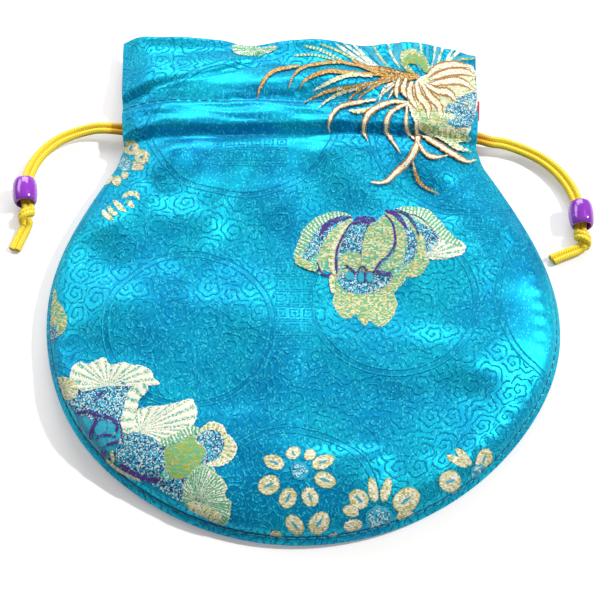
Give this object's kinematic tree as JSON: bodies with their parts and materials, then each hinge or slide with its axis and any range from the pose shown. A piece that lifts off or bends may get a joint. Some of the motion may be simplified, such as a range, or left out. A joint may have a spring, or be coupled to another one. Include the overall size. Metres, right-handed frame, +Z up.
{
  "type": "drawstring pouch",
  "caption": "Small round-bottomed lined brocade pouch with an open header, a stitched casing, and knotted drawcords with sliding beads at its sides.",
  "frame": {"origin": "on the surface that the pouch lies on, under the middle of the bag without its cords", "axes": "+Y towards the mouth, +Z up out of the front panel, +X to the right as the front is seen"},
  "size_m": [0.141, 0.1321, 0.0119],
  "materials": {
    "brocade": "satin-woven figured brocade with a soft sheen",
    "red_satin": "thin satin lining",
    "sewing_thread": "polyester sewing thread",
    "yellow_braid": "round braided cord",
    "purple_plastic": "glossy moulded"
  },
  "bodies": {
    "pouch": {"front_panel": "brocade", "back_panel": "brocade", "front_lining": "red_satin", "back_lining": "red_satin", "front_lower_stitching": "sewing_thread", "front_upper_stitching": "sewing_thread", "back_lower_stitching": "sewing_thread", "back_upper_stitching": "sewing_thread", "edge_seam_thread": "sewing_thread", "left_drawcord": "yellow_braid", "right_drawcord": "yellow_braid", "left_knot": "yellow_braid", "right_knot": "yellow_braid"},
    "left_bead": {"left_bead": "purple_plastic"},
    "right_bead": {"right_bead": "purple_plastic"}
  },
  "joints": [
    {"name": "left_bead_travel", "type": "hinge", "parent": "pouch", "child": "left_bead", "pos_m": [-0.0502, 0.0249, 0.00305], "axis": [0, 0, -1], "range_deg": [0, 90]},
    {"name": "right_bead_travel", "type": "hinge", "parent": "pouch", "child": "right_bead", "pos_m": [0.0466, 0.0163, 0.00305], "axis": [0, 0, 1], "range_deg": [0, 76]}
  ]
}
